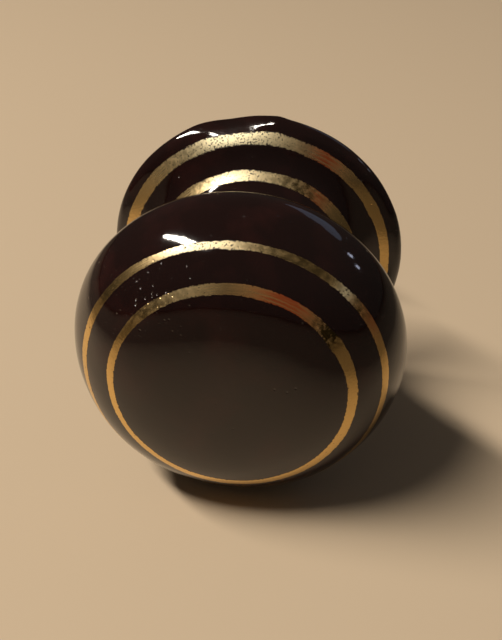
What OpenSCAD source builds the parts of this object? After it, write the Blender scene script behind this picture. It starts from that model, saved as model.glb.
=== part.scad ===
// Glazed ceramic furniture knob with four fired-on gold bands, held to a panel by a screw from behind.
// The knob's axis is horizontal, as it is on a door or a drawer front: the face looks along -Y, the
// mounting face lies on the XZ plane with the origin at its centre, and the screw comes in from +Y.
// Profiles are drawn as [radius, height], where height is the distance in front of the mounting face.

/* [Head] */
// Diameter of the head at its widest line
head_d = 38; // [34:1:44]
// Distance from the mounting face to the middle of the domed face
projection = 33; // [31:0.5:38]
// Distance from the widest line forward to the middle of the face
face_depth = 10.4; // [8:0.2:12]
// How flat the middle of the face is, as the exponent of the radius
face_flatness = 3.9; // [2.5:0.1:5]
// How full the shoulder is, as the exponent of the height
shoulder_fullness = 1.6; // [1.3:0.05:2.2]
// Radius that turns the widest line into the back of the head
head_back_r = 3.8; // [2.5:0.1:5]
// Angle through which the back of the head turns inwards before it becomes the neck
head_back_turn = 65; // [50:1:75]

/* [Neck and base] */
// Diameter of the neck at its waist
neck_d = 22; // [18:0.5:24]
// Diameter where the flare of the neck lands on the base
flare_d = 26.2; // [25:0.2:28]
// Diameter of the base at its rim
base_d = 38; // [34:1:44]
// Radius of the rounded rim
rim_r = 1.3; // [1:0.1:1.6]
// Slope of the base's upper side, in degrees
base_slope = 15; // [10:1:20]
// Radius that rounds the inner edge of the foot ring
foot_edge_r = 0.4; // [0.2:0.1:0.6]

/* [Gilding] */
// Thickness of a gold band, of which gilt_proud stands above the glaze
gilt_t = 0.12; // [0.08:0.02:0.2]
// Height of a gold band above the glaze
gilt_proud = 0.02; // [0.01:0.01:0.04]
// Inner diameter of the band on the face
face_band_d = 25; // [22:0.2:27]
// Width of the band on the face, measured across the radius
face_band_w = 1.1; // [0.8:0.1:1.4]
// Inner diameter of the band on the shoulder
shoulder_band_d = 32.3; // [31:0.1:33]
// Width of the band on the shoulder, measured across the radius
shoulder_band_w = 0.7; // [0.5:0.05:0.9]
// Inner diameter of the band on the base
base_band_d = 32; // [30:0.2:32.6]
// Width of the band on the base, measured across the radius
base_band_w = 1.5; // [1:0.1:1.6]
// Height of the neck band's lower edge above the mounting face
neck_band_h = 4.2; // [4.1:0.1:5]
// Width of the band on the neck, measured along the axis
neck_band_w = 1.4; // [1.2:0.1:2]

/* [Back of the base] */
// Diameter of the recess inside the foot ring
recess_d = 25; // [22:0.5:27]
// Depth of that recess
recess_depth = 1.2; // [0.8:0.1:1.6]
// Diameter of the socket for the threaded insert
socket_d = 10; // [9:0.5:12]
// Depth of the socket below the floor of the recess
socket_depth = 13; // [12.5:0.5:15]

/* [Threaded insert] */
// Nominal thread diameter, which is also the diameter of the insert's plain bore
thread_d = 4; // [4:1:5]
// Diameter over the insert's knurls
insert_d = 7; // [7:0.2:8]
// Length of the insert
insert_l = 10; // [9:0.5:11]
// Distance of the insert's mouth below the floor of the recess
insert_sink = 0.5; // [0.2:0.1:1]
// Number of teeth round each knurl
knurl_teeth = 24; // [16:2:32]
// Depth of a knurl tooth
knurl_depth = 0.25; // [0.1:0.05:0.3]
// Diameter of the locking groove between the two knurls
insert_waist_d = 5.8; // [5.6:0.1:6.2]

/* [Cushion washer] */
// Outer diameter of the rubber washer in the recess
cushion_d = 21; // [18:0.5:22]
// Hole of the rubber washer
cushion_hole_d = 11.5; // [11:0.5:13]
// Thickness of the rubber washer, which stands a little proud of the foot ring
cushion_t = 1.5; // [1.3:0.1:1.8]

/* [Screw and washer] */
// Thickness of the panel that the knob is set up for
panel_t = 18; // [17:1:19]
// Length of the screw under its head
screw_l = 30; // [30:1:31]
// Radial gap between the screw and the insert's bore
thread_gap = 0.05; // [0.02:0.01:0.1]
// Diameter of the screw's pan head
screw_head_d = 8; // [7:0.5:9]
// Height of the screw's pan head
screw_head_h = 2.6; // [2.4:0.1:3]
// Radius of the pan head's outer edge
screw_edge_r = 1.4; // [1:0.1:1.6]
// Length across the arms of the cross recess
cross_l = 4.4; // [4:0.1:5]
// Width of an arm of the cross recess
cross_w = 0.8; // [0.6:0.1:1]
// Depth of the cross recess
cross_depth = 1.7; // [1.5:0.1:1.9]
// Outer diameter of the flat washer
washer_d = 12; // [9:1:12]
// Hole of the flat washer
washer_hole_d = 4.3; // [4.3:0.1:4.5]
// Thickness of the flat washer
washer_t = 1; // [0.8:0.1:1.2]
// Radius of the edge that stamping leaves on one side of the flat washer
washer_edge_r = 0.3; // [0.1:0.1:0.4]

/* [Hidden] */
$fn = 128;

glaze_colour = "#1d100e";
gold_colour = "#c79a4b";
plaster_colour = "#d9d2c3";
brass_colour = "#b08d4a";
rubber_colour = "#2a2a2b";
zinc_colour = "#b9bcc0";

head_r = head_d / 2;
neck_r = neck_d / 2;
base_r = base_d / 2;
flare_r = flare_d / 2;
recess_r = recess_d / 2;
socket_r = socket_d / 2;
widest_h = projection - face_depth;

// The cove under the head starts where the head's back edge has turned by head_back_turn, and its
// radius is the one that reaches the waist of the neck running parallel to the axis.
head_back_mid = [head_r - head_back_r, widest_h];
cove_start_r = head_back_mid.x + head_back_r * cos(head_back_turn);
cove_r = (cove_start_r - neck_r) / (1 - cos(head_back_turn));
waist_h = widest_h - (head_back_r + cove_r) * sin(head_back_turn);
cove_mid = [neck_r + cove_r, waist_h];

// The base's upper side is a cone tangent to the rounded rim.
rim_mid = [base_r - rim_r, rim_r];
cone_out = rim_mid + rim_r * [sin(base_slope), cos(base_slope)];
cone_in = [flare_r, cone_out.y + (cone_out.x - flare_r) * tan(base_slope)];

// The flare is the arc that leaves the waist parallel to the axis and lands on the cone.
flare_step = cone_in - [neck_r, waist_h];
flare_arc_r = (flare_step.x ^ 2 + flare_step.y ^ 2) / (2 * flare_step.x);
flare_mid = [neck_r + flare_arc_r, waist_h];
flare_turn = asin(-flare_step.y / flare_arc_r);

insert_mouth_h = recess_depth + insert_sink;
insert_end_h = insert_mouth_h + insert_l;
knurl_l = insert_l * 0.35;
socket_end_h = recess_depth + socket_depth;
screw_r = thread_d / 2 - thread_gap;
under_head_h = -panel_t - washer_t;
tip_chamfer = 0.5;
mouth_chamfer = 0.4;
overshoot = 0.5;
arc_steps = 16;
face_steps = 40;

// Points on an arc round mid, from angle a to angle b
function arc(mid, r, a, b, steps = arc_steps) =
    [for (i = [0:steps]) let (t = a + (b - a) * i / steps) mid + r * [cos(t), sin(t)]];

// The domed face is a superellipse. face_point gives the point at turn, which runs from 0 in the middle
// of the face to 90 at the widest line, and face_turn gives the turn at a radius.
function face_point(turn) =
    [head_r * sin(turn) ^ (2 / face_flatness),
     widest_h + face_depth * cos(turn) ^ (2 / shoulder_fullness)];
function face_turn(r) = asin((r / head_r) ^ (face_flatness / 2));
function unit(v) = v / norm(v);
function face_normal(p) =
    unit([face_flatness / head_r * (p.x / head_r) ^ (face_flatness - 1),
          shoulder_fullness / face_depth * ((p.y - widest_h) / face_depth) ^ (shoulder_fullness - 1)]);

// Half of the knob's outline, from the middle of the face round to the edge of the recess
outline = concat(
    [for (i = [0:face_steps - 1]) face_point(90 * i / face_steps)],
    arc(head_back_mid, head_back_r, 0, -head_back_turn),
    arc(cove_mid, cove_r, 180 - head_back_turn, 180),
    arc(flare_mid, flare_arc_r, 180, 180 + flare_turn),
    arc(rim_mid, rim_r, 90 - base_slope, -90));

// A gold band's section: the surface points and their normals, from proud of the glaze to under it
function band_section(points, normals, proud) = concat(
    [for (i = [0:len(points) - 1]) points[i] + proud * normals[i]],
    [for (i = [len(points) - 1:-1:0]) points[i] - (gilt_t - gilt_proud) * normals[i]]);

band_steps = 4;
function steps_between(a, b) = [for (i = [0:band_steps]) a + (b - a) * i / band_steps];

function face_band(inner_r, w, proud) =
    let (points = [for (r = steps_between(inner_r, inner_r + w)) face_point(face_turn(r))])
    band_section(points, [for (p = points) face_normal(p)], proud);

function flare_band(h, w, proud) =
    let (normals = [for (y = steps_between(h, h + w))
                       let (s = (waist_h - y) / flare_arc_r) [sqrt(1 - s ^ 2), s]])
    band_section([for (n = normals) flare_mid - flare_arc_r * n], normals, proud);

function cone_band(inner_r, w, proud) =
    let (normal = [sin(base_slope), cos(base_slope)],
         radii = [inner_r, inner_r + w])
    band_section([for (r = radii) cone_out - (r - cone_out.x) * [-1, tan(base_slope)]],
                 [normal, normal], proud);

// Turns a section round the knob's axis, which then lies along Y with heights running towards -Y
module turned(section) {
    rotate([90, 0, 0]) rotate_extrude() polygon(section);
}

module on_axis(h) {
    rotate([90, 0, 0]) translate([0, 0, h]) children();
}

// Band sections by name, at the given height above the glaze
function face_gilt(proud) = face_band(face_band_d / 2, face_band_w, proud);
function shoulder_gilt(proud) = face_band(shoulder_band_d / 2, shoulder_band_w, proud);
function neck_gilt(proud) = flare_band(neck_band_h, neck_band_w, proud);
function base_gilt(proud) = cone_band(base_band_d / 2, base_band_w, proud);

// One-piece ceramic body: domed head, waisted neck, flared base, foot ring, recess and blind socket
module knob_body() {
    color(glaze_colour) difference() {
        turned(concat(
            outline,
            arc([recess_r + foot_edge_r, foot_edge_r], foot_edge_r, 270, 180, 4),
            [[recess_r, recess_depth], [socket_r, recess_depth], [socket_r, socket_end_h],
             [0, socket_end_h]]));
        for (section = [face_gilt(overshoot), shoulder_gilt(overshoot), neck_gilt(overshoot),
                        base_gilt(overshoot)])
            turned(section);
    }
}

module face_gilt_band() {
    color(gold_colour) turned(face_gilt(gilt_proud));
}

module shoulder_gilt_band() {
    color(gold_colour) turned(shoulder_gilt(gilt_proud));
}

module neck_gilt_band() {
    color(gold_colour) turned(neck_gilt(gilt_proud));
}

module base_gilt_band() {
    color(gold_colour) turned(base_gilt(gilt_proud));
}

// Outside of the insert: two knurled bands with a locking groove between them
module insert_blank() {
    knurl_step = 180 / knurl_teeth;
    on_axis(insert_mouth_h) {
        cylinder(h = insert_l, d = insert_waist_d);
        for (h = [0, insert_l - knurl_l])
            translate([0, 0, h]) linear_extrude(knurl_l)
                polygon([for (i = [0:2 * knurl_teeth - 1])
                            (insert_d / 2 - knurl_depth * (i % 2))
                            * [cos(i * knurl_step), sin(i * knurl_step)]]);
    }
}

// Set plaster that beds the insert in the socket, level with the insert's mouth
module insert_bedding() {
    color(plaster_colour) difference() {
        on_axis(insert_mouth_h) cylinder(h = insert_l, r = socket_r);
        insert_blank();
    }
}

// Brass insert; its internal thread is a plain bore of the thread's nominal diameter
module threaded_insert() {
    color(brass_colour) difference() {
        insert_blank();
        on_axis(insert_mouth_h - overshoot) cylinder(h = insert_l + 2 * overshoot, d = thread_d);
        on_axis(insert_mouth_h - overshoot)
            cylinder(h = overshoot + mouth_chamfer, d1 = thread_d + 2 * (mouth_chamfer + overshoot),
                     d2 = thread_d);
    }
}

// Rubber washer in the recess, between the ceramic and the panel
module cushion_washer() {
    color(rubber_colour) on_axis(recess_depth - cushion_t) difference() {
        cylinder(h = cushion_t, d = cushion_d);
        translate([0, 0, -overshoot]) cylinder(h = cushion_t + 2 * overshoot, d = cushion_hole_d);
    }
}

// Stamped washer behind the panel, with its rounded edge towards the screw's head
module flat_washer() {
    edge_mid = [washer_d / 2 - washer_edge_r, under_head_h + washer_edge_r];
    color(zinc_colour) turned(concat(
        [[washer_hole_d / 2, under_head_h]],
        arc(edge_mid, washer_edge_r, 270, 360, 4),
        [[washer_d / 2, -panel_t], [washer_hole_d / 2, -panel_t]]));
}

// Pan-head machine screw; its thread is a plain cylinder of the thread's major diameter
module fixing_screw() {
    head_edge_mid = [screw_head_d / 2 - screw_edge_r, under_head_h - screw_head_h + screw_edge_r];
    tip_h = under_head_h + screw_l;
    color(zinc_colour) difference() {
        turned(concat(
            [[0, tip_h], [screw_r - tip_chamfer, tip_h], [screw_r, tip_h - tip_chamfer],
             [screw_r, under_head_h], [screw_head_d / 2, under_head_h]],
            arc(head_edge_mid, screw_edge_r, 0, -90, 8),
            [[0, under_head_h - screw_head_h]]));
        on_axis(under_head_h - screw_head_h - overshoot) cross_recess();
    }
}

// Two crossed slots that taper to a point on the axis
module cross_recess() {
    intersection() {
        union() {
            for (turn = [0, 90])
                rotate([0, 0, turn]) translate([-cross_l / 2, -cross_w / 2, 0])
                    cube([cross_l, cross_w, cross_depth + overshoot]);
        }
        cylinder(h = cross_depth + overshoot, d1 = cross_l + 2 * overshoot, d2 = cross_w);
    }
}

knob_body();
face_gilt_band();
shoulder_gilt_band();
neck_gilt_band();
base_gilt_band();
insert_bedding();
threaded_insert();
cushion_washer();
flat_washer();
fixing_screw();
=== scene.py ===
import math

import bmesh
import bpy
import numpy as np
from bpy.props import FloatProperty, FloatVectorProperty, IntProperty, PointerProperty
from bpy.types import Operator, Panel, PropertyGroup
from mathutils import Matrix, Vector, noise


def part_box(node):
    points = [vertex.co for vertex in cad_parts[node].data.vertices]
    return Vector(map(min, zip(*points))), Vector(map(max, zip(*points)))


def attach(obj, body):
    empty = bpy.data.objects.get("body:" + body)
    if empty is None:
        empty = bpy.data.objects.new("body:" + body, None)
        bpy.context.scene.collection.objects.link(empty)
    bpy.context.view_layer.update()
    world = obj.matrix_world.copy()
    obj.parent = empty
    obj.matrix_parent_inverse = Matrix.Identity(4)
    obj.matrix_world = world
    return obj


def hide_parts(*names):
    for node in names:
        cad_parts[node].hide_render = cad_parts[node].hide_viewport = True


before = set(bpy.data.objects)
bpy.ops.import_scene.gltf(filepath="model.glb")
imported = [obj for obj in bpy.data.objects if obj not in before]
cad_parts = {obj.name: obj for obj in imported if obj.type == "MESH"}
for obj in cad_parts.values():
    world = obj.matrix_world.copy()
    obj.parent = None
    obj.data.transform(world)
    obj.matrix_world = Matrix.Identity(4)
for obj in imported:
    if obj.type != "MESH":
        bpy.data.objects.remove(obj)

bl_info = {
    "name": "Gilded Ceramic Knob",
    "version": (1, 0, 0),
    "blender": (4, 5, 0),
    "location": "3D View > Sidebar > Knob",
    "description": "Builds a treacle-glazed ceramic furniture knob with fired gold bands round its frame",
    "category": "Object",
}

MM = 0.001
# How close two points must be, in metres, to be merged into one.
WELD = 1e-7
# Faces that meet at a larger angle than this have a sharp edge between them.
SHARP_ANGLE = math.radians(38)
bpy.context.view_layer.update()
KNOB_LOW, KNOB_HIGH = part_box("knob_body")


# --- Sizes and colours ---


def length(name, text, default, low=0.0, high=0.1):
    return FloatProperty(
        name=name, description=text, default=default, min=low, max=high,
        subtype="DISTANCE", unit="LENGTH", precision=5,
    )


def colour(name, text, hex_code):
    return FloatVectorProperty(
        name=name, description=text, default=linear(hex_code), size=4, min=0.0, max=1.0,
        subtype="COLOR",
    )


def linear(hex_code):
    """Linear RGBA from an sRGB hex code."""
    values = [int(hex_code[i:i + 2], 16) / 255 for i in (1, 3, 5)]
    return [v / 12.92 if v <= 0.04045 else ((v + 0.055) / 1.055) ** 2.4 for v in values] + [1.0]


class KnobShape(PropertyGroup):
    """The lathe outline of the glazed body. Radii are from the axis, heights from the back face."""

    head_radius: length("Head radius", "Radius at the head's widest line", KNOB_HIGH.x)
    projection: length("Projection", "Height of the middle of the face", -KNOB_LOW.y)
    face_depth: length("Face depth", "Widest line to the middle of the face", 10.4 * MM)
    face_flatness: FloatProperty(
        name="Face flatness", description="Exponent of the radius in the face's curve", default=3.9)
    shoulder_fullness: FloatProperty(
        name="Shoulder fullness", description="Exponent of the height in the face's curve", default=1.6)
    head_back_radius: length("Head back radius", "Rounding behind the widest line", 3.8 * MM)
    head_back_turn: FloatProperty(
        name="Head back turn", description="Angle that rounding turns through",
        default=math.radians(65), subtype="ANGLE", unit="ROTATION")
    neck_radius: length("Neck radius", "Radius of the neck at its waist", 11.0 * MM)
    flare_radius: length("Flare radius", "Radius where the neck's flare meets the base", 13.1 * MM)
    rim_radius: length("Rim rounding", "Radius of the rounded rim of the base", 1.3 * MM)
    base_slope: FloatProperty(
        name="Base slope", description="Slope of the base's upper side",
        default=math.radians(15), subtype="ANGLE", unit="ROTATION")
    recess_radius: length("Recess radius", "Radius of the recess inside the foot ring", 12.5 * MM)
    recess_depth: length("Recess depth", "Depth of the recess inside the foot ring", 1.2 * MM)
    socket_radius: length("Socket radius", "Radius of the socket for the insert", 5.0 * MM)
    socket_end: length("Socket end", "Height of the blind end of the socket", 14.2 * MM)
    segments: IntProperty(
        name="Segments", description="Divisions of the body round its axis", default=352, min=64)


class Fittings(PropertyGroup):
    """The insert, the screw and the washers."""

    cushion_hole: length("Cushion hole radius", "Radius of the rubber washer's hole", 5.75 * MM)
    washer_hole: length("Washer hole radius", "Radius of the flat washer's hole", 2.15 * MM)
    stamped_edge: length("Stamped edge", "Rounding that stamping leaves on the washer", 0.3 * MM)
    crest_radius: length("Thread crest radius", "Radius over the thread's crests", 1.95 * MM)
    root_radius: length("Thread root radius", "Radius at the thread's roots", 1.54 * MM)
    pitch: length("Pitch", "Advance of the thread in a turn", 0.7 * MM)
    head_edge: length("Head edge", "Rounding of the pan head's edge", 1.4 * MM)
    under_head: length("Under head", "Distance of the head's underside behind the back face", 19.0 * MM)
    cross_reach: length("Cross reach", "Distance from the axis to the end of an arm", 2.2 * MM)
    cross_half: length("Cross half width", "Half the width of an arm of the cross", 0.4 * MM)
    cross_depth: length("Cross depth", "Depth of the cross recess", 1.7 * MM)


class GlazeLook(PropertyGroup):
    """Colours and surface of the treacle glaze and the clay under it."""

    deep: colour("Deep glaze", "Colour where the glaze is thick", "#1a0a08")
    thin: colour("Thin glaze", "Colour where the glaze runs thin", "#2f1411")
    clay: colour("Biscuit clay", "Colour of the unglazed foot ring", "#b9a48a")
    roughness: FloatProperty(name="Roughness", description="Roughness of the glaze", default=0.06)
    ripple: length("Ripple", "Height of the fine ripple on the glaze", 0.010 * MM)
    pit_depth: length("Pit depth", "Depth of the burst bubbles", 0.05 * MM)


class GildingLook(PropertyGroup):
    """Colours and thickness of the fired-on gold."""

    gold: colour("Gold", "Colour of the gold where it lies thick", "#f3cb84")
    # Paler gold, mixed in over the rubbed stretches. It is wear, and at the top of each band, where the key
    # lamp falls, it is also a painted highlight.
    pale: colour("Worn gold", "Colour of the gold where it has worn", "#efe5bd")
    copper: colour("Thin gold", "Colour of the gold where it was brushed thin", "#a8552f")
    # Darker olive laid on listed stretches of the gold: a painted dark reflection and a painted shade on
    # those stretches.
    painted_darkening: colour("Tarnish", "Colour of the grime that lies in dulled stretches of the gold", "#4b3d1c")
    raised: length("Raised", "Height of the gold above the glaze", 0.015 * MM)
    segments: IntProperty(
        name="Segments", description="Divisions of a band round the axis", default=1440, min=64)


class StudioLook(PropertyGroup):
    """The floor, the lamps and the camera."""

    floor: colour("Floor", "Colour of the plain pale floor", "#d2bea2")
    floor_size: length("Floor size", "Side of the square floor", 6.0, high=20.0)
    surround_start: length("Surround start", "Radius at which the dark surround starts", 0.068, high=1.0)
    surround_end: length("Surround end", "Radius at which the dark surround is dense", 0.125, high=1.0)
    backdrop: FloatProperty(name="Backdrop", description="Brightness of the backdrop", default=0.62)
    horizon: FloatProperty(name="Horizon", description="Brightness of the room at the horizon", default=0.035)
    zenith: FloatProperty(name="Zenith", description="Brightness of the room overhead", default=0.06)
    lens: FloatProperty(name="Lens", description="Focal length in millimetres", default=53.7)
    elevation: FloatProperty(
        name="Camera elevation", description="Angle of the camera above the horizon",
        default=math.radians(34.1), subtype="ANGLE", unit="ROTATION")
    azimuth: FloatProperty(
        name="Camera azimuth", description="Angle of the camera round from the face",
        default=math.radians(5.8), subtype="ANGLE", unit="ROTATION")


# --- Small helpers ---


def add_node(tree, kind, inputs=None, output=0, **settings):
    """Adds a shader node and gives back one of its outputs, if it has any.

    Each input is set to a value, or linked where what is given is another node's output.
    """
    node = tree.nodes.new("ShaderNode" + kind)
    for name, value in settings.items():
        setattr(node, name, value)
    for key, value in (inputs or {}).items():
        if isinstance(value, bpy.types.NodeSocket):
            tree.links.new(value, node.inputs[key])
        else:
            node.inputs[key].default_value = value
    return node.outputs[output] if node.outputs else None


def new_material(name):
    material = bpy.data.materials.new(name)
    material.use_nodes = True
    material.node_tree.nodes.clear()
    return material, material.node_tree


def finish_material(tree, inputs):
    add_node(tree, "OutputMaterial", {"Surface": add_node(tree, "BsdfPrincipled", inputs)})


def step(t, low, high):
    """Smooth step of t from 0 at low to 1 at high."""
    x = min(max((t - low) / (high - low), 0.0), 1.0)
    return x * x * (3 - 2 * x)


def arc(centre, radius, start, end, steps):
    """Points on an arc, angles in degrees."""
    angles = [math.radians(start + (end - start) * i / steps) for i in range(steps + 1)]
    return [Vector((centre[0] + radius * math.cos(a), centre[1] + radius * math.sin(a))) for a in angles]


def line(start, end, steps):
    """Points from start up to but not including end."""
    return [Vector(start).lerp(Vector(end), i / steps) for i in range(steps)]


def add_chain(bm, outline, closed=False):
    """Lays an outline of [radius, height] points into a bmesh as edges in the XY plane."""
    verts = [bm.verts.new((p[0], -p[1], 0.0)) for p in outline]
    edges = [bm.edges.new(pair) for pair in zip(verts, verts[1:])]
    if closed:
        edges.append(bm.edges.new((verts[-1], verts[0])))
    return verts, edges


# The parts of a turn that are copied round, from the smallest, which is spun, up to half a turn.
SECTORS = (32, 16, 8, 4, 2)


def spin_round_axis(bm, verts, edges, segments):
    """Turns a chain of edges into a closed surface round the knob's axis.

    The smallest sector is spun and then copied round by doubling, which is much quicker than one spin.
    """
    bmesh.ops.spin(
        bm, geom=[*verts, *edges], cent=(0, 0, 0), axis=(0, 1, 0), dvec=(0, 0, 0),
        angle=math.tau / SECTORS[0], steps=max(segments // SECTORS[0], 1), use_merge=False,
        use_duplicate=False,
    )
    for parts in SECTORS:
        copy = bmesh.ops.duplicate(bm, geom=bm.verts[:] + bm.edges[:] + bm.faces[:])["geom"]
        bmesh.ops.rotate(
            bm, verts=[g for g in copy if isinstance(g, bmesh.types.BMVert)], cent=(0, 0, 0),
            matrix=Matrix.Rotation(math.tau / parts, 3, "Y"))
    bmesh.ops.remove_doubles(bm, verts=bm.verts, dist=WELD)
    bmesh.ops.recalc_face_normals(bm, faces=bm.faces)


def add_piece(name, bm, material, body, slot, *replaced):
    """Makes a smooth-shaded object of a bmesh and places it in the frame."""
    mesh = bpy.data.meshes.new(name)
    bm.to_mesh(mesh)
    bm.free()
    mesh.shade_smooth()
    mesh.set_sharp_from_angle(angle=SHARP_ANGLE)
    mesh.materials.append(material)
    piece = bpy.data.objects.new(name, mesh)
    bpy.context.scene.collection.objects.link(piece)
    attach(piece, body)
    if replaced:
        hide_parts(*replaced)
    return piece


# --- The glazed body ---


# Points along each stretch of the glazed side's outline, from the middle of the face to the foot ring.
FACE_POINTS = 96
HEAD_BACK_POINTS = 18
COVE_POINTS = 30
FLARE_POINTS = 20
BASE_POINTS = 16
RIM_POINTS = 24
# Points at the rim's lower end over which the glaze was wiped off.
WIPED_POINTS = 6


def outer_outline(shape):
    """Glazed side of the body, from the middle of the face to the foot ring, as [radius, height]."""
    widest = shape.projection - shape.face_depth
    face = []
    for i in range(FACE_POINTS):
        u = math.sin(math.radians(90) * i / FACE_POINTS)
        rise = (1 - u ** shape.face_flatness) ** (1 / shape.shoulder_fullness)
        face.append(Vector((shape.head_radius * u, widest + shape.face_depth * rise)))

    turn = shape.head_back_turn
    back_mid = (shape.head_radius - shape.head_back_radius, widest)
    cove_start = back_mid[0] + shape.head_back_radius * math.cos(turn)
    cove_radius = (cove_start - shape.neck_radius) / (1 - math.cos(turn))
    waist = widest - (shape.head_back_radius + cove_radius) * math.sin(turn)
    cove_mid = (shape.neck_radius + cove_radius, waist)

    slope = shape.base_slope
    rim_mid = (shape.head_radius - shape.rim_radius, shape.rim_radius)
    cone_out = (rim_mid[0] + shape.rim_radius * math.sin(slope),
                rim_mid[1] + shape.rim_radius * math.cos(slope))
    cone_in = (shape.flare_radius, cone_out[1] + (cone_out[0] - shape.flare_radius) * math.tan(slope))
    across, along = cone_in[0] - shape.neck_radius, waist - cone_in[1]
    flare_radius = (across ** 2 + along ** 2) / (2 * across)
    flare_turn = math.degrees(math.asin(along / flare_radius))
    flare_mid = (shape.neck_radius + flare_radius, waist)

    turn = math.degrees(turn)
    slope = math.degrees(slope)
    return (
        face
        + arc(back_mid, shape.head_back_radius, 0, -turn, HEAD_BACK_POINTS)[:-1]
        + arc(cove_mid, cove_radius, 180 - turn, 180, COVE_POINTS)[:-1]
        + arc(flare_mid, flare_radius, 180, 180 + flare_turn, FLARE_POINTS)[:-1]
        + line(cone_in, cone_out, BASE_POINTS)
        + arc(rim_mid, shape.rim_radius, 90 - slope, -90, RIM_POINTS)
    )


def inner_outline(shape):
    """Back of the body, from the foot ring through the recess to the blind end of the socket."""
    edge = 0.4 * MM
    inner = shape.recess_radius + edge
    foot = line((shape.head_radius - shape.rim_radius, 0), (inner, 0), 10)[1:]
    corner = 0.5 * MM
    return (
        foot
        + arc((inner, edge), edge, 270, 180, 6)
        + arc((shape.recess_radius - corner, shape.recess_depth - corner), corner, 0, 90, 6)
        + line((shape.recess_radius - 2 * corner, shape.recess_depth),
               (shape.socket_radius + edge, shape.recess_depth), 14)
        + arc((shape.socket_radius + edge, shape.recess_depth + edge), edge, 270, 180, 6)
        + [Vector((shape.socket_radius, shape.socket_end)), Vector((0, shape.socket_end))]
    )


def soften(bm, verts, rounds):
    """Eases the joints between the outline's arcs, as a wet sponge does on the wheel."""
    for _ in range(rounds):
        bmesh.ops.smooth_vert(bm, verts=verts, factor=0.5, use_axis_x=True, use_axis_y=True)


# Slow and quick waves of the glaze: the length and the height of each, and how far in their middle lies, so
# that no crest stands outside the turned outline. All in millimetres.
SLOW_WAVE, SLOW_HEIGHT = 9.0, 0.05
QUICK_WAVE, QUICK_HEIGHT = 3.5, 0.012
WAVE_INSET = 0.03
# Radii and heights, in millimetres, between which the unevenness of the base's rim comes in.
RIM_RADII, RIM_HEIGHTS = (15.6, 18.8), (-5.0, -3.4)
# The flattened stretch of the rim: where it starts, is deepest and ends, in degrees round from the top, its
# depth in millimetres, and the height and half width of the bulge at its end.
DENT_START, DENT_DEEPEST, DENT_END = -26.0, -10.0, 8.0
DENT_DEPTH = 0.48
BULGE_HEIGHT, BULGE_HALF_WIDTH = 0.13, 3.0
# The slope above the rim is pressed down over more of the turn: the angles between which the press comes in
# and goes out, the radius where it starts, its width, how sharply it bends, and the heights it comes in at.
PRESS_IN, PRESS_OUT = (-38.0, -14.0), (-6.0, 20.0)
PRESS_RADIUS, PRESS_WIDTH, PRESS_BEND = 15.7, 2.4, 1.7
PRESS_HEIGHTS = (-5.0, -3.6)
# The share of its height that the rim loses under the press, and that it loses all the way round.
PRESS_DROP, RIM_DROP = 0.37, 0.07


def uneven(point, normal):
    """Moves a point of the turned surface to where the hand-finished surface has it, in millimetres.

    The glaze lies in slow waves, and a stretch of the base's rim is flattened and bulges where it ends.
    """
    x, y, z = point
    radius = math.hypot(x, z)
    slow = noise.noise(Vector((x, y, z)) / SLOW_WAVE)
    quick = noise.noise(Vector((x, y, z)) / QUICK_WAVE + Vector((40, 0, 0)))
    moved = point + normal * (SLOW_HEIGHT * slow + QUICK_HEIGHT * quick - WAVE_INSET)
    angle = math.degrees(math.atan2(x, z))
    near_rim = step(radius, *RIM_RADII) * step(y, *RIM_HEIGHTS)
    flat = step(angle, DENT_START, DENT_DEEPEST) * (1 - step(angle, DENT_DEEPEST, DENT_END))
    bulge = math.exp(-((angle - DENT_END) / BULGE_HALF_WIDTH) ** 2)
    wave = noise.noise(Vector((angle / 14.0, 5.0, 0.0)))
    if radius > 1e-6:
        inward = near_rim * (DENT_DEPTH * flat - BULGE_HEIGHT * bulge + 0.05 * wave + 0.05)
        moved += Vector((-x, 0, -z)) / radius * inward
    press = step(angle, *PRESS_IN) * (1 - step(angle, *PRESS_OUT))
    sloped = (max(radius - PRESS_RADIUS, 0.0) / PRESS_WIDTH) ** PRESS_BEND * step(y, *PRESS_HEIGHTS)
    moved.y *= 1 - sloped * (PRESS_DROP * press + RIM_DROP + 0.03 * wave)
    return moved


def skin_of(verts):
    """Arc length, radius, height and normal along the chain of verts, as arrays in millimetres."""
    radius = np.array([v.co.x for v in verts]) / MM
    height = np.array([-v.co.y for v in verts]) / MM
    along = np.concatenate([[0], np.cumsum(np.hypot(np.diff(radius), np.diff(height)))])
    slope_r, slope_h = np.gradient(radius, along), np.gradient(height, along)
    size = np.hypot(slope_r, slope_h)
    return {"along": along, "radius": radius, "height": height,
            "normal_r": -slope_h / size, "normal_h": slope_r / size}


def glazed_outline(bm, shape):
    """Chain of the glazed side with its joints eased, as its verts and edges."""
    verts, edges = add_chain(bm, outer_outline(shape))
    widest = FACE_POINTS
    cove_start = widest + HEAD_BACK_POINTS
    flare_end = cove_start + COVE_POINTS + FLARE_POINTS
    soften(bm, verts[widest - 6:widest + 6], 6)
    soften(bm, verts[cove_start - 6:cove_start + 6], 6)
    # The flare meets the base at the sharpest joint, so that one is eased the most.
    soften(bm, verts[flare_end - 9:flare_end + 8], 45)
    return verts, edges


# The patch of burst bubbles at the head's upper left: its middle and reach in millimetres, the share of
# places in it that hold a bubble, and that share on the rest of the glaze.
PATCH_MIDDLE = Vector((-7.3, -31.3, 11.2))
PATCH_REACH = 2.3
PATCH_SHARE, STRAY_SHARE = 0.7, 0.012


def blistered(point):
    """How thickly burst bubbles lie at a point in millimetres."""
    away = (point - PATCH_MIDDLE).length
    return STRAY_SHARE + PATCH_SHARE * math.exp(-((away / PATCH_REACH) ** 2))


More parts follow.
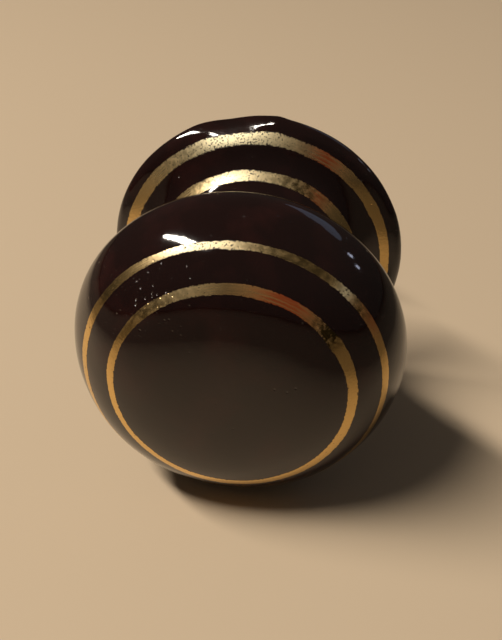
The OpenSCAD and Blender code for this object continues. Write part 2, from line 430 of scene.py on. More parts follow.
def build_body(shape, material):
    bm = bmesh.new()
    bare = bm.verts.layers.float.new("bare")
    blisters = bm.verts.layers.float.new("blisters")
    verts, edges = glazed_outline(bm, shape)
    back, back_edges = add_chain(bm, inner_outline(shape))
    for vert in back:
        vert[bare] = 1.0
    for i, vert in enumerate(verts[-WIPED_POINTS:]):
        vert[bare] = (i + 1) / WIPED_POINTS
    edges += back_edges + [bm.edges.new((verts[-1], back[0]))]
    spin_round_axis(bm, verts + back, edges, shape.segments)
    for vert in bm.verts:
        point = vert.co / MM
        vert[blisters] = blistered(point)
        if vert[bare] < 1.0:
            vert.co = uneven(point, vert.normal) * MM
    return add_piece("glazed_body", bm, material, "knob", "treacle_glaze", "knob_body")


# --- The gold bands ---

# Divisions across a band, and how far below the glaze its underside lies, in millimetres.
BAND_POINTS = 8
BAND_BURIED = 0.05
# Where each band lies on the outline, in millimetres: a start and an end radius on the face or the base,
# or a start and an end height on the neck. Then, in degrees round from the top: where its brush stroke
# was lapped, and the middle, half width and strength of each narrow stretch, of each rubbed stretch, which
# is also paler and at the band's top is a painted highlight where the key lamp falls, of each thinly
# brushed stretch, and of each stretch painted darker olive as a painted dark reflection and shade.
BANDS = {
    "face_gilt_band": {
        "on": "face", "span": (12.5, 13.6), "lap": 56,
        "narrow": [(-95, 60, 0.3)],
        "wear_and_highlight": [(-22, 20, 0.45), (49, 6, 0.3)],
        "thin": [(26, 20, 1.1)],
        "painted_dark": [(-40, 24, 0.7), (50, 8, 1.6)]},
    "shoulder_gilt_band": {
        "on": "face", "span": (16.15, 16.85), "lap": 0,
        "narrow": [(0, 50, 0.2)],
        "wear_and_highlight": [(-10, 22, 0.9), (45, 5, 1.0)],
        "thin": [(59, 9, 0.8)],
        "painted_dark": [(22, 24, 0.7), (-50, 20, 0.3), (54, 4, 0.9)]},
    "neck_gilt_band": {
        "on": "neck", "span": (5.6, 4.2), "lap": 200,
        "narrow": [(0, 70, 0.2)],
        "wear_and_highlight": [(-8, 32, 0.8)],
        "thin": [(38, 9, 0.9)],
        "painted_dark": [(-30, 14, 0.6), (26, 16, 0.9)]},
    "base_gilt_band": {
        "on": "base", "span": (16.0, 17.5), "lap": 62,
        "narrow": [(95, 50, 0.22)],
        "wear_and_highlight": [(-10, 34, 1.0)],
        "thin": [(31, 10, 1.0)],
        "painted_dark": [(-34, 14, 0.5), (16, 12, 0.3)]},
}


def arc_length_at(skin, where, value):
    """Arc length on the skin at a radius on the face or the base, or at a height on the neck."""
    n = len(skin["along"])
    widest = int(np.argmax(skin["radius"][: n // 2 + 20]))
    if where == "face":
        return float(np.interp(value, skin["radius"][:widest], skin["along"][:widest]))
    neck = widest + int(np.argmin(skin["radius"][widest:]))
    if where == "neck":
        heights, along = skin["height"][neck:], skin["along"][neck:]
        return float(np.interp(-value, -heights, along))
    rim = neck + int(np.argmax(skin["radius"][neck:]))
    return float(np.interp(value, skin["radius"][neck:rim], skin["along"][neck:rim]))


def edge_wobble(angle, seed):
    """How far a band's edge strays from its line at an angle, in millimetres: brush sway and ragged glaze."""
    ring = Vector((math.sin(angle), math.cos(angle), 0))
    sway = noise.noise(ring * 3.0 + Vector((seed, 0, 0)))
    ragged = noise.noise(ring * 28.0 + Vector((0, seed, 0)))
    fine = noise.noise(ring * 75.0 + Vector((0, 0, seed)))
    return 0.12 * sway + 0.05 * ragged + 0.035 * fine


def stretches(angle, specs):
    """Strength at an angle of stretches given by their middle, half width and strength, in degrees."""
    total = 0.0
    for middle, half, strength in specs:
        away = math.remainder(math.degrees(angle) - middle, 360)
        total += strength * math.exp(-((away / half) ** 2))
    return total


def build_band(name, skin, gilding, material):
    """One gold band: a thin closed skin on the glaze whose edges stray as a brushed line's do."""
    spec = BANDS[name]
    start, end = (arc_length_at(skin, spec["on"], v) for v in spec["span"])
    seed = 11.0 * (1 + list(BANDS).index(name))
    bm = bmesh.new()
    across = bm.verts.layers.float.new("across")
    lift = bm.verts.layers.float.new("lift")
    blisters = bm.verts.layers.float.new("blisters")
    looks = {look: bm.verts.layers.float.new(look) for look in ("wear_and_highlight", "thin", "painted_dark")}
    top = [i / BAND_POINTS for i in range(BAND_POINTS + 1)]
    section = [(t, gilding.raised / MM * (1 - 0.5 * (2 * t - 1) ** 4)) for t in top]
    section += [(t, -BAND_BURIED) for t in (1.0, 0.5, 0.0)]
    # The ring is spun at any radius, and each point then goes to its place on the skin.
    verts, edges = add_chain(bm, [((15 + t) * MM, up * MM) for t, up in section], closed=True)
    for vert, (t, up) in zip(verts, section):
        vert[across], vert[lift] = t, up
    spin_round_axis(bm, verts, edges, gilding.segments)

    angles = [math.atan2(v.co.x, v.co.z) for v in bm.verts]
    edge_at = {}
    for angle in {round(a, 5) for a in angles}:
        swell = stretches(angle, [(spec["lap"], 3, 0.09)])
        swell -= stretches(angle, spec["narrow"]) * (end - start) / 2
        edge_at[angle] = (
            start + edge_wobble(angle, seed) - swell, end + edge_wobble(angle, seed + 5) + swell)
    at = [edge_at[round(a, 5)] for a in angles]
    along = [low + (high - low) * v[across] for v, (low, high) in zip(bm.verts, at)]
    keys = ("radius", "height", "normal_r", "normal_h")
    columns = [np.interp(along, skin["along"], skin[k]).tolist() for k in keys]
    for vert, angle, r, h, nr, nh in zip(bm.verts, angles, *columns):
        outward = Vector((math.sin(angle), 0, math.cos(angle)))
        normal = (outward * nr + Vector((0, -nh, 0))).normalized()
        point = outward * r + Vector((0, -h, 0))
        vert.co = (uneven(point, normal) + normal * vert[lift]) * MM
        vert[blisters] = blistered(point)
        for look, layer in looks.items():
            vert[layer] = stretches(angle, spec[look])
    bmesh.ops.recalc_face_normals(bm, faces=bm.faces)
    bm.verts.layers.float.remove(bm.verts.layers.float["lift"])
    return add_piece(name.replace("_band", "_line"), bm, material, "knob", "fired_gold", name)


# --- The fittings behind the knob ---


# Divisions of a washer's rounded corner, and of a turn of the thread.
CORNER_STEPS = 4
THREAD_STEPS = 40


def rounded_ring(inner, outer, low, high, corners, steps):
    """Closed outline of a ring's section whose corners, from inner low round to inner high, are rounded."""
    centres = (
        (inner, low, 1, 1, 180), (outer, low, -1, 1, 270), (outer, high, -1, -1, 0), (inner, high, 1, -1, 90))
    outline = []
    for (r, h, to_r, to_h, turn), size in zip(centres, corners):
        outline += arc((r + to_r * size, h + to_h * size), size, turn, turn + 90, steps)
    return outline


def build_plaster(shape, material):
    """Set plaster round the insert, with the uneven top that was struck off by hand."""
    low, high = (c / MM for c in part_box("insert_bedding"))
    mouth, end = -high.y, -low.y
    socket = shape.socket_radius / MM
    inside = 3.3
    top = [(inside, mouth + 0.02), (3.7, mouth + 0.08), (4.2, mouth + 0.1), (4.7, mouth + 0.04),
           (socket, mouth - 0.12)]
    outline = [Vector(p) * MM for p in [*reversed(top), (inside, end), (socket, end)]]
    bm = bmesh.new()
    verts, edges = add_chain(bm, [*line(outline[0], outline[1], 3), *outline[1:]], closed=True)
    spin_round_axis(bm, verts, edges, 128)
    for vert in bm.verts:
        if -vert.co.y < (mouth + 1) * MM:
            vert.co.y += 0.12 * MM * noise.noise(vert.co / MM * 0.9) - 0.04 * MM
    return add_piece("plaster_bedding", bm, material, "knob", "plaster", "insert_bedding")


def build_cushion(fit, material):
    """Moulded rubber washer with soft edges and the fine line that the mould leaves round it."""
    low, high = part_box("cushion_washer")
    bm = bmesh.new()
    outline = rounded_ring(fit.cushion_hole, high.x, -high.y, -low.y, [0.25 * MM] * 4, CORNER_STEPS)
    middle = -(low.y + high.y) / 2
    parting = [Vector((high.x - 0.06 * MM, middle - 0.12 * MM)), Vector((high.x, middle)),
               Vector((high.x - 0.06 * MM, middle + 0.12 * MM))]
    side = 2 * (CORNER_STEPS + 1)
    verts, edges = add_chain(bm, outline[:side] + parting + outline[side:], closed=True)
    spin_round_axis(bm, verts, edges, 192)
    return add_piece("rubber_washer", bm, material, "knob", "nitrile_rubber", "cushion_washer")


def build_washer(fit, material):
    """Stamped washer: rounded where the punch entered, with a small burr where it broke out."""
    low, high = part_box("flat_washer")
    bm = bmesh.new()
    corners = (fit.stamped_edge * 0.5, fit.stamped_edge, 0.05 * MM, 0.05 * MM)
    outline = rounded_ring(fit.washer_hole, high.x, -high.y, -low.y, corners, CORNER_STEPS)
    verts, edges = add_chain(bm, outline, closed=True)
    spin_round_axis(bm, verts, edges, 128)
    return add_piece("steel_washer", bm, material, "washer", "zinc_plated_steel", "flat_washer")


def add_thread(bm, fit, tip):
    """Rolled thread: its section is wound once round the axis, and ends one pitch higher.

    The last ring lands on the first one's next turn, so the doubles are merged by distance and not by
    the spin's own merge, which joins each point to itself.
    """
    crest, root = fit.crest_radius, fit.root_radius
    deep = crest - root
    # Along a pitch from the crest, and how far down from the crest to the root.
    section = (
        (0, 0), (0.125, 0), (0.2, 0.22), (0.36, 0.82), (0.45, 1), (0.67, 1), (0.76, 0.82), (0.92, 0.22))
    turns = math.ceil((tip + fit.under_head) / fit.pitch) + 2
    outline = [(crest - deep * d, tip + (1 - turn - t) * fit.pitch + fit.pitch)
               for turn in range(turns) for t, d in section]
    verts, edges = add_chain(bm, outline)
    bmesh.ops.spin(
        bm, geom=[*verts, *edges], cent=(0, 0, 0), axis=(0, 1, 0),
        dvec=(0, fit.pitch / THREAD_STEPS, 0), angle=-math.tau, steps=THREAD_STEPS, use_merge=False,
        use_duplicate=False)
    bmesh.ops.remove_doubles(bm, verts=bm.verts, dist=10 * WELD)
    for place, outward in ((-tip, -1), (fit.under_head + 0.05 * MM, 1)):
        bmesh.ops.bisect_plane(
            bm, geom=bm.verts[:] + bm.edges[:] + bm.faces[:], plane_co=(0, place, 0),
            plane_no=(0, outward, 0), clear_outer=True)
    # The tip is chamfered, and the slivers that this leaves are merged away.
    for vert in bm.verts:
        radius = math.hypot(vert.co.x, vert.co.z)
        limit = crest - 0.5 * MM + (vert.co.y + tip)
        if radius > limit:
            vert.co.x *= limit / radius
            vert.co.z *= limit / radius
    bmesh.ops.remove_doubles(bm, verts=bm.verts, dist=0.004 * MM)
    bmesh.ops.holes_fill(bm, edges=[e for e in bm.edges if e.is_boundary])


def build_screw(fit, material):
    """Pan-head screw with a rolled thread and a cross recess."""
    low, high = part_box("fixing_screw")
    top, flat = high.y, high.x - fit.head_edge
    bm = bmesh.new()
    edge = arc((flat, -(top - fit.head_edge)), fit.head_edge, 0, -90, 10)
    under = [Vector((0, -fit.under_head)), Vector((fit.crest_radius, -fit.under_head)),
             Vector((high.x - 0.1 * MM, -fit.under_head)), Vector((high.x, -fit.under_head - 0.1 * MM))]
    verts, edges = add_chain(bm, under + edge)
    spin_round_axis(bm, verts, edges, 96)

    rim = [e for e in bm.edges if e.is_boundary]
    reach, half = fit.cross_reach, fit.cross_half
    corners = []
    for quarter in range(4):
        turn = Matrix.Rotation(math.radians(90 * quarter), 2)
        corners += [turn @ Vector(p) for p in ((reach, -half), (reach, half), (half, half))]
    verts = [bm.verts.new((c.x, top, c.y)) for c in corners]
    cross = [bm.edges.new((verts[i - 1], verts[i])) for i in range(len(verts))]
    bmesh.ops.triangle_fill(bm, edges=rim + cross, use_beauty=True, normal=(0, 1, 0))
    walls = bmesh.ops.extrude_edge_only(bm, edges=cross)["geom"]
    floor = [g for g in walls if isinstance(g, bmesh.types.BMVert)]
    narrow = 0.25 * reach
    for vert in floor:
        vert.co.x = min(max(vert.co.x, -narrow), narrow)
        vert.co.z = min(max(vert.co.z, -narrow), narrow)
        vert.co.y -= fit.cross_depth
    bmesh.ops.holes_fill(bm, edges=[e for e in bm.edges if e.is_boundary])
    bmesh.ops.bevel(
        bm, geom=cross, offset=0.07 * MM, offset_type="OFFSET", segments=2, profile=0.5,
        affect="EDGES", material=-1)

    thread = bmesh.new()
    add_thread(thread, fit, -low.y)
    scratch = bpy.data.meshes.new("thread")
    thread.to_mesh(scratch)
    thread.free()
    bm.from_mesh(scratch)
    bpy.data.meshes.remove(scratch)
    bmesh.ops.recalc_face_normals(bm, faces=bm.faces)
    return add_piece("machine_screw", bm, material, "screw", "zinc_plated_steel", "fixing_screw")


# --- Materials ---


def millimetres(tree):
    """Object coordinates in millimetres."""
    place = add_node(tree, "TexCoord", output="Object")
    return add_node(tree, "VectorMath", {0: place, "Scale": 1 / MM}, operation="SCALE")


def ground_distance(tree, offset=(0, 0, 0)):
    """Distance in metres over the ground from an offset to the knob's middle."""
    place = add_node(tree, "TexCoord", output="Object")
    place = add_node(tree, "VectorMath", {0: place, 1: offset}, operation="SUBTRACT")
    flat = add_node(tree, "VectorMath", {0: place, 1: (1, 1, 0)}, operation="MULTIPLY")
    return add_node(tree, "VectorMath", {0: flat}, "Value", operation="LENGTH")


def pits(tree, place, size, share):
    """1 in round pits about size millimetres across, in the given share of the cells that space them."""
    spacing = 2.2 * size
    distance = add_node(tree, "TexVoronoi", {"Vector": place, "Scale": 1 / spacing}, "Distance")
    draw = add_node(tree, "SeparateXYZ", {0: distance.node.outputs["Color"]})
    chosen = add_node(tree, "Math", {0: draw, 1: share}, operation="LESS_THAN")
    # Distances in cells: a bowl slopes down from its edge at 0.34 to a flat floor at 0.08.
    bowl = add_node(
        tree, "MapRange", {"Value": distance, "From Min": 0.34, "From Max": 0.08},
        interpolation_type="SMOOTHSTEP")
    return add_node(tree, "Math", {0: bowl, 1: chosen}, operation="MULTIPLY")


def brush_streaks(tree, place, across):
    """Streaks that run round the knob's axis, 7 to a band's width, as a liner's brush leaves them."""
    flat = add_node(tree, "VectorMath", {0: place, 1: (1, 0, 1)}, operation="MULTIPLY")
    ring = add_node(tree, "VectorMath", {0: flat}, operation="NORMALIZE")
    ring = add_node(tree, "VectorMath", {0: ring, "Scale": 3.0}, operation="SCALE")
    hairs = add_node(tree, "Math", {0: across, 1: 7.0}, operation="MULTIPLY")
    offset = add_node(tree, "CombineXYZ", {"Y": hairs})
    stroke = add_node(tree, "VectorMath", {0: ring, 1: offset}, operation="ADD")
    return add_node(tree, "TexNoise", {"Vector": stroke, "Scale": 1.0, "Detail": 3.0})


def glaze_material(look):
    """Treacle glaze: lead-rich glaze dipped and fired on buff clay. Mirror-bright and nearly black where
    thick, aubergine where it ran thin, with burst bubbles, and wiped off the foot ring before firing."""
    material, tree = new_material("treacle_glaze_on_buff_clay")
    place = millimetres(tree)
    flow = add_node(tree, "TexNoise", {"Vector": place, "Scale": 1 / 5.0, "Detail": 4.0})
    thin = add_node(tree, "MapRange", {"Value": flow, "From Min": 0.5, "From Max": 0.75, "To Max": 0.7})
    glaze = add_node(tree, "Mix", {0: thin, 6: look.deep, 7: look.thin}, 2, data_type="RGBA")

    cloth = add_node(tree, "TexNoise", {"Vector": place, "Scale": 1 / 0.9, "Detail": 2.0})
    ragged = add_node(tree, "MapRange", {
        "Value": cloth, "From Min": 0.3, "From Max": 0.7, "To Min": -0.25, "To Max": 0.25})
    foot = add_node(tree, "Attribute", output="Fac", attribute_name="bare")
    wiped = add_node(tree, "Math", {0: foot, 1: ragged}, operation="ADD")
    bare = add_node(tree, "MapRange", {"Value": wiped, "From Min": 0.45, "From Max": 0.55})
    grog = add_node(tree, "TexNoise", {"Vector": place, "Scale": 1 / 0.35, "Detail": 4.0})
    clay = add_node(tree, "Mix", {0: grog, 6: look.clay, 7: linear("#94806a")}, 2, data_type="RGBA")

    blisters = add_node(tree, "Attribute", output="Fac", attribute_name="blisters")
    holes = add_node(
        tree, "Math", {0: pits(tree, place, 0.2, blisters), 1: pits(tree, place, 0.06, 0.02)},
        operation="MAXIMUM")
    ripple = add_node(tree, "TexNoise", {"Vector": place, "Scale": 1 / 1.1, "Detail": 2.5})
    tooth = add_node(tree, "TexNoise", {"Vector": place, "Scale": 1 / 0.15, "Detail": 5.0})
    tooth = add_node(tree, "Math", {0: bare, 1: tooth}, operation="MULTIPLY")
    normal = add_node(tree, "Bump", {"Height": ripple, "Distance": look.ripple})
    normal = add_node(tree, "Bump", {"Height": holes, "Distance": -look.pit_depth, "Normal": normal})
    normal = add_node(tree, "Bump", {"Height": tooth, "Distance": 0.05 * MM, "Normal": normal})
    finish_material(tree, {
        "Base Color": add_node(tree, "Mix", {0: bare, 6: glaze, 7: clay}, 2, data_type="RGBA"),
        "Roughness": add_node(tree, "MapRange", {"Value": bare, "To Min": look.roughness, "To Max": 0.85}),
        "IOR": 1.7,
        "Normal": normal,
    })
    return material


def gold_material(gilding, glaze):
    """Bright gold: a gold lustre brushed on the glaze and fired at a red heat. It takes the glaze's gloss,
    is coppery where brushed thin, and has rubbed off in specks and along its edges. Rubbed stretches are
    also paler, a painted highlight at the top of each band where the key lamp falls, and listed stretches
    are painted darker olive, a painted dark reflection and shade."""
    material, tree = new_material("fired_bright_gold")
    place = millimetres(tree)
    across = add_node(tree, "Attribute", output="Fac", attribute_name="across")
    wear_and_highlight = add_node(tree, "Attribute", output="Fac", attribute_name="wear_and_highlight")
    streaks = brush_streaks(tree, place, across)

    specks = add_node(tree, "TexNoise", {"Vector": place, "Scale": 1 / 0.2, "Detail": 2.0})
    from_middle = add_node(tree, "Math", {0: across, 1: 0.5}, operation="SUBTRACT")
    from_middle = add_node(tree, "Math", {0: from_middle}, operation="ABSOLUTE")
    edge_wear = add_node(tree, "MapRange", {
        "Value": from_middle, "From Min": 0.38, "From Max": 0.5, "To Max": 0.22})
    rubbed = add_node(tree, "MapRange", {"Value": wear_and_highlight, "To Max": 0.14})
    wear = add_node(tree, "Math", {0: rubbed, 1: edge_wear}, operation="ADD")
    wear = add_node(tree, "Math", {0: specks, 1: wear}, operation="ADD")
    gone = add_node(tree, "MapRange", {"Value": wear, "From Min": 0.69, "From Max": 0.76})

    sparse = add_node(tree, "MapRange", {
        "Value": streaks, "From Min": 0.25, "From Max": 0.5, "To Min": 0.25})
    thin = add_node(tree, "Attribute", output="Fac", attribute_name="thin")
    thin = add_node(tree, "Math", {0: thin, 1: sparse}, operation="MULTIPLY")
    # Paler gold over the rubbed stretches: wear, and at the band tops a painted highlight as well.
    gold = add_node(tree, "Mix", {0: wear_and_highlight, 6: gilding.gold, 7: gilding.pale}, 2, data_type="RGBA")
    gold = add_node(tree, "Mix", {0: thin, 6: gold, 7: gilding.copper}, 2, data_type="RGBA")
    # Darker olive over the listed stretches, broken up by a cloud: a painted dark reflection and a painted
    # shade.
    cloud = add_node(tree, "TexNoise", {"Vector": place, "Scale": 1 / 0.6, "Detail": 3.0})
    cloud = add_node(tree, "MapRange", {"Value": cloud, "From Min": 0.35, "From Max": 0.6})
    painted_darkening = add_node(tree, "Attribute", output="Fac", attribute_name="painted_dark")
    painted_darkening = add_node(tree, "Math", {0: painted_darkening, 1: cloud}, operation="MULTIPLY")
    gold = add_node(tree, "Mix", {0: painted_darkening, 6: gold, 7: gilding.painted_darkening}, 2, data_type="RGBA")

    whole = add_node(tree, "MapRange", {"Value": gone, "To Min": 1.0, "To Max": 0.0})
    dulled = add_node(tree, "Math", {0: wear_and_highlight, 1: thin}, operation="MAXIMUM")
    bright = add_node(tree, "MapRange", {"Value": dulled, "To Min": 1.0, "To Max": 0.4})
    hairlines = add_node(tree, "MapRange", {
        "Value": streaks, "From Min": 0.3, "From Max": 0.7, "To Min": 0.12, "To Max": 0.2})
    scuffs = add_node(tree, "MapRange", {"Value": wear_and_highlight, "To Max": 0.36})
    orange_peel = add_node(tree, "TexNoise", {"Vector": place, "Scale": 1 / 0.3, "Detail": 3.0})
    blisters = add_node(tree, "Attribute", output="Fac", attribute_name="blisters")
    normal = add_node(tree, "Bump", {"Height": orange_peel, "Distance": 0.012 * MM})
    finish_material(tree, {
        "Base Color": add_node(tree, "Mix", {0: gone, 6: gold, 7: glaze.deep}, 2, data_type="RGBA"),
        "Metallic": add_node(tree, "Math", {0: whole, 1: bright}, operation="MULTIPLY"),
        "Roughness": add_node(tree, "Math", {0: hairlines, 1: scuffs}, operation="ADD"),
        "Normal": add_node(tree, "Bump", {
            "Height": pits(tree, place, 0.2, blisters), "Distance": -glaze.pit_depth, "Normal": normal}),
    })
    return material


def plaster_material():
    """Casting plaster, poured round the insert and struck off while wet: matt, chalky and faintly pored."""
    material, tree = new_material("cast_plaster")
    place = millimetres(tree)
    damp = add_node(tree, "TexNoise", {"Vector": place, "Scale": 1 / 0.5, "Detail": 4.0})
    pores = add_node(tree, "TexNoise", {"Vector": place, "Scale": 1 / 0.2, "Detail": 4.0})
    finish_material(tree, {
        "Base Color": add_node(
            tree, "Mix", {0: damp, 6: linear("#cfc7b6"), 7: linear("#e6e0d2")}, 2, data_type="RGBA"),
        "Roughness": 0.9,
        "Normal": add_node(tree, "Bump", {"Height": pores, "Distance": 0.04 * MM}),
    })
    return material


def brass_material():
    """Free-cutting brass, turned and knurled on an automatic lathe, then dulled unevenly by handling."""
    material, tree = new_material("turned_brass")
    place = millimetres(tree)
    dull = add_node(tree, "TexNoise", {"Vector": place, "Scale": 1 / 1.5, "Detail": 3.0})
    tool_marks = add_node(tree, "TexNoise", {"Vector": place, "Scale": 1 / 0.1, "Detail": 2.0})
    finish_material(tree, {
        "Base Color": add_node(
            tree, "Mix", {0: dull, 6: linear("#d9b871"), 7: linear("#a9843f")}, 2, data_type="RGBA"),
        "Metallic": 1.0,
        "Roughness": add_node(tree, "MapRange", {
            "Value": dull, "From Min": 0.3, "From Max": 0.7, "To Min": 0.22, "To Max": 0.4}),
        "Normal": add_node(tree, "Bump", {"Height": tool_marks, "Distance": 0.003 * MM}),
    })
    return material


def rubber_material():
    """Nitrile rubber, compression moulded, matt from the mould, with a little grey bloom on it."""
    material, tree = new_material("moulded_nitrile_rubber")
    place = millimetres(tree)
    bloom = add_node(tree, "TexNoise", {"Vector": place, "Scale": 1 / 2.5, "Detail": 4.0})
    greyed = add_node(tree, "MapRange", {"Value": bloom, "From Min": 0.45, "From Max": 0.8})
    mould = add_node(tree, "TexNoise", {"Vector": place, "Scale": 1 / 0.15, "Detail": 3.0})
    finish_material(tree, {
        "Base Color": add_node(
            tree, "Mix", {0: greyed, 6: linear("#1c1b1b"), 7: linear("#3a3937")}, 2, data_type="RGBA"),
        "Roughness": add_node(tree, "MapRange", {
            "Value": bloom, "From Min": 0.3, "From Max": 0.7, "To Min": 0.5, "To Max": 0.72}),
        "Normal": add_node(tree, "Bump", {"Height": mould, "Distance": 0.012 * MM}),
    })
    return material


def steel_material():
    """Low-carbon steel, cold headed or stamped, then barrel plated with bright zinc that clouds a little."""
    material, tree = new_material("zinc_plated_steel")
    place = millimetres(tree)
    cloud = add_node(tree, "TexNoise", {"Vector": place, "Scale": 1 / 1.2, "Detail": 4.0})
    barrel = add_node(tree, "TexNoise", {"Vector": place, "Scale": 1 / 0.08, "Detail": 2.0})
    finish_material(tree, {
        "Base Color": add_node(
            tree, "Mix", {0: cloud, 6: linear("#d3d6d8"), 7: linear("#a9adb0")}, 2, data_type="RGBA"),
        "Metallic": 1.0,
        "Roughness": add_node(tree, "MapRange", {
            "Value": cloud, "From Min": 0.3, "From Max": 0.7, "To Min": 0.2, "To Max": 0.38}),
        "Normal": add_node(tree, "Bump", {"Height": barrel, "Distance": 0.002 * MM}),
    })
    return material


def backdrop_material(look):
    """Backdrop paper, evenly lit from behind the set, which thins out where it reaches the floor."""
    material, tree = new_material("backdrop_paper")
    finish_material(tree, {
        "Base Color": linear("#000000"), "Roughness": 1.0, "Specular IOR Level": 0.0,
        "Emission Color": look.floor, "Emission Strength": look.backdrop,
        "Alpha": add_node(tree, "MapRange", {
            "Value": ground_distance(tree), "From Min": 0.3, "From Max": 0.75}),
    })
    return material


def reflected_shade_material(look):
    """Black sheet that only the knob's gloss sees, a painted shade in the knob's reflection of the floor:
    clear near the knob and thickening out to the surround end.
    """
    material, tree = new_material("reflected_shade_sheet")
    finish_material(tree, {
        "Base Color": linear("#050404"), "Roughness": 1.0,
        "Alpha": add_node(tree, "MapRange", {
            "Value": ground_distance(tree, (-0.028, 0.03, 0)),
            "From Min": look.surround_start, "From Max": look.surround_end, "To Max": 0.85}),
    })
    return material


def floor_material(look):
    """Pale board with a matt paint, rolled on and dried."""
    material, tree = new_material("matt_painted_board")
    finish_material(tree, {"Base Color": look.floor, "Roughness": 0.75})
    return material


# --- Stage ---


# Name, direction from the knob, distance, length and width, direction of the long side, watts and tint.
LAMPS = (
    ("key_strip", (-0.54, -0.137, 0.831), 0.9, (0.65, 0.085), (0.398, -0.531, 0.171), 8.6, "#fff4e6"),
    ("cool_panel", (0.474, 0.703, 0.53), 0.6, (0.36, 0.14), (1, -0.67, 0), 0.05, "#b9cdf0"),
    ("upper_glint", (0.815, 0.38, 0.438), 0.6, (0.035, 0.035), (0, 0, 1), 0.012, "#dfe6ff"),
    ("lower_glint", (0.877, 0.302, 0.375), 0.6, (0.03, 0.03), (0, 0, 1), 0.008, "#dfe6ff"),
)
# Where the camera stands from the middle of the head: back along its line of sight, right and up.
CAMERA_BACK, CAMERA_RIGHT, CAMERA_UP = 109.25 * MM, 1.34 * MM, 2.82 * MM
HEAD_MIDDLE = Vector((0, -22.6 * MM, 0))


def add_lamp(name, direction, distance, size, across, watts, tint):
    """Soft box in a direction from the knob, facing it, with its long side as near to across as can be."""
    lamp = bpy.data.lights.new(name, "AREA")
    lamp.shape = "ELLIPSE"
    lamp.size, lamp.size_y = size
    lamp.energy = watts
    lamp.color = linear(tint)[:3]
    item = bpy.data.objects.new(name, lamp)
    bpy.context.scene.collection.objects.link(item)
    back = Vector(direction).normalized()
    side = (Vector(across) - back * back.dot(Vector(across))).normalized()
    item.location = back * distance
    item.rotation_euler = Matrix((side, back.cross(side), back)).transposed().to_euler()


def add_set_piece(name, bm, material):
    """Makes a stage object of a bmesh."""
    mesh = bpy.data.meshes.new(name)
    bm.to_mesh(mesh)
    bm.free()
    mesh.materials.append(material)
    item = bpy.data.objects.new(name, mesh)
    bpy.context.scene.collection.objects.link(item)
    return item


def add_sheet(name, side, height, material):
    """Lays a square sheet flat at a height."""
    bm = bmesh.new()
    bmesh.ops.create_grid(bm, x_segments=1, y_segments=1, size=side / 2)
    bmesh.ops.translate(bm, verts=bm.verts, vec=(0, 0, height))
    return add_set_piece(name, bm, material)


def add_dark_surround(look, ground):
    """Black sheet round the set that only the gloss of the knob picks up: a painted shade in the knob's
    reflection of the floor, so that the reflection stays dark.
    """
    shade_sheet = add_sheet("dark_surround", look.floor_size, ground + 0.2 * MM, reflected_shade_material(look))
    shade_sheet.visible_camera = shade_sheet.visible_diffuse = shade_sheet.visible_shadow = False


def add_backdrop(look, ground):
    """Sweep of paper round the set that only the camera sees, so it neither lights nor shows in gloss."""
    bm = bmesh.new()
    bend = arc((0.75, 0.25), 0.25, -90, 0, 12)
    outline = [*line((0.3, 0.0), (0.75, 0.0), 6), *bend, Vector((1.0, 1.6))]
    verts = [bm.verts.new((p.x, 0, ground + 0.5 * MM + p.y)) for p in outline]
    edges = [bm.edges.new(pair) for pair in zip(verts, verts[1:])]
    bmesh.ops.spin(
        bm, geom=[*verts, *edges], cent=(0, 0, 0), axis=(0, 0, 1), dvec=(0, 0, 0),
        angle=math.tau, steps=96, use_merge=True, use_duplicate=False)
    bmesh.ops.recalc_face_normals(bm, faces=bm.faces)
    bmesh.ops.reverse_faces(bm, faces=bm.faces)
    sweep = add_set_piece("backdrop", bm, backdrop_material(look))
    sweep.data.shade_smooth()
    sweep.visible_glossy = sweep.visible_diffuse = sweep.visible_shadow = False


def build_stage(look):
    scene = bpy.context.scene
    scene.view_settings.view_transform = "Standard"
    ground = KNOB_LOW.z
    add_sheet("floor", look.floor_size, ground, floor_material(look))
    add_dark_surround(look, ground)
    add_backdrop(look, ground)

    world = bpy.data.worlds.new("studio")
    world.use_nodes = True
    tree = world.node_tree
    tree.nodes.clear()
    direction = add_node(tree, "TexCoord", output="Generated")
    height = add_node(tree, "SeparateXYZ", {0: direction}, "Z")
    brightness = add_node(tree, "MapRange", {
        "Value": height, "From Max": 0.5, "To Min": look.horizon, "To Max": look.zenith})
    shade = add_node(tree, "Background", {"Color": linear("#fff1e2"), "Strength": brightness})
    add_node(tree, "OutputWorld", {"Surface": shade})
    scene.world = world

    for lamp in LAMPS:
        add_lamp(*lamp)

    camera = bpy.data.cameras.new("camera")
    camera.lens = look.lens
    camera.sensor_width = 36.0
    camera.clip_start = 0.005
    viewer = bpy.data.objects.new("camera", camera)
    scene.collection.objects.link(viewer)
    place_camera(viewer, look)
    scene.camera = viewer


def place_camera(viewer, look):
    """Sets the camera back from the head's centre along its line of sight."""
    sin_a, cos_a = math.sin(look.azimuth), math.cos(look.azimuth)
    sin_e, cos_e = math.sin(look.elevation), math.cos(look.elevation)
    back = Vector((sin_a * cos_e, -cos_a * cos_e, sin_e))
    right = Vector((cos_a, sin_a, 0))
    up = back.cross(right)
    viewer.location = HEAD_MIDDLE + back * CAMERA_BACK + right * CAMERA_RIGHT + up * CAMERA_UP
    viewer.rotation_euler = Matrix((right, up, back)).transposed().to_euler()


# --- Operators, panel and registration ---


class KNOB_OT_stage(Operator):
    """Lay the floor and set up the lamps and the camera"""

    bl_idname = "knob.stage"
    bl_label = "Stage"

    def execute(self, context):
        build_stage(context.scene.knob_studio)
        return {"FINISHED"}


class KNOB_OT_glazed_body(Operator):
    """Turn the glazed ceramic body"""

    bl_idname = "knob.glazed_body"
    bl_label = "Glazed body"

    def execute(self, context):
        scene = context.scene
        build_body(scene.knob_shape, glaze_material(scene.knob_glaze))
        return {"FINISHED"}


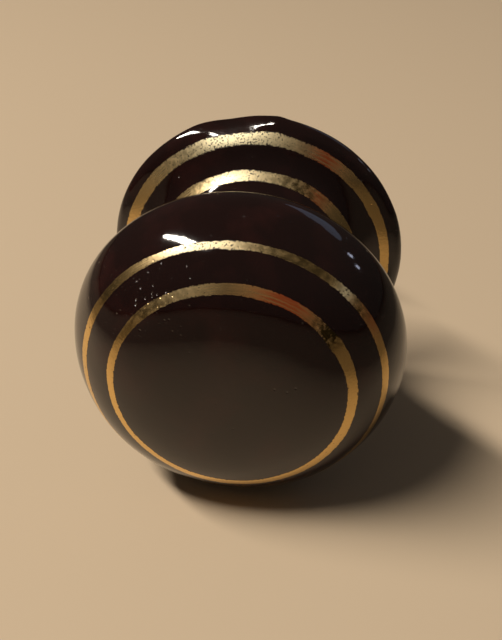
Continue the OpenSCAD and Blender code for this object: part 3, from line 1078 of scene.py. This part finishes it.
class KNOB_OT_gold_bands(Operator):
    """Lay the four gold bands on the glaze"""

    bl_idname = "knob.gold_bands"
    bl_label = "Gold bands"

    def execute(self, context):
        scene = context.scene
        bm = bmesh.new()
        verts, _ = glazed_outline(bm, scene.knob_shape)
        skin = skin_of(verts)
        bm.free()
        material = gold_material(scene.knob_gilding, scene.knob_glaze)
        for name in BANDS:
            build_band(name, skin, scene.knob_gilding, material)
        return {"FINISHED"}


class KNOB_OT_insert(Operator):
    """Finish the brass insert and bed it in plaster"""

    bl_idname = "knob.insert"
    bl_label = "Insert and plaster"

    def execute(self, context):
        build_plaster(context.scene.knob_shape, plaster_material())
        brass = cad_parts["threaded_insert"]
        brass.data.materials.clear()
        brass.data.materials.append(brass_material())
        return {"FINISHED"}


class KNOB_OT_cushion_washer(Operator):
    """Mould the rubber washer"""

    bl_idname = "knob.cushion_washer"
    bl_label = "Rubber washer"

    def execute(self, context):
        build_cushion(context.scene.knob_fittings, rubber_material())
        return {"FINISHED"}


class KNOB_OT_fixing(Operator):
    """Stamp the flat washer and roll the screw"""

    bl_idname = "knob.fixing"
    bl_label = "Screw and washer"

    def execute(self, context):
        steel = steel_material()
        build_washer(context.scene.knob_fittings, steel)
        build_screw(context.scene.knob_fittings, steel)
        return {"FINISHED"}


class KNOB_PT_panel(Panel):
    """Builds the knob piece by piece"""

    bl_idname = "KNOB_PT_panel"
    bl_label = "Gilded Ceramic Knob"
    bl_space_type = "VIEW_3D"
    bl_region_type = "UI"
    bl_category = "Knob"

    def draw(self, context):
        for operator in OPERATORS:
            self.layout.operator(operator.bl_idname)


OPERATORS = (
    KNOB_OT_stage, KNOB_OT_glazed_body, KNOB_OT_gold_bands, KNOB_OT_insert, KNOB_OT_cushion_washer,
    KNOB_OT_fixing,
)
SETTINGS = {
    "knob_shape": KnobShape, "knob_fittings": Fittings, "knob_glaze": GlazeLook,
    "knob_gilding": GildingLook, "knob_studio": StudioLook,
}


def register():
    for kind in (*SETTINGS.values(), *OPERATORS, KNOB_PT_panel):
        bpy.utils.register_class(kind)
    for name, kind in SETTINGS.items():
        setattr(bpy.types.Scene, name, PointerProperty(type=kind))


def unregister():
    for name in SETTINGS:
        delattr(bpy.types.Scene, name)
    for kind in (KNOB_PT_panel, *reversed(OPERATORS), *reversed(SETTINGS.values())):
        bpy.utils.unregister_class(kind)


def main():
    register()
    bpy.ops.knob.stage()
    bpy.ops.knob.glazed_body()
    bpy.ops.knob.gold_bands()
    bpy.ops.knob.insert()
    bpy.ops.knob.cushion_washer()
    bpy.ops.knob.fixing()


if __name__ == "__main__":
    main()
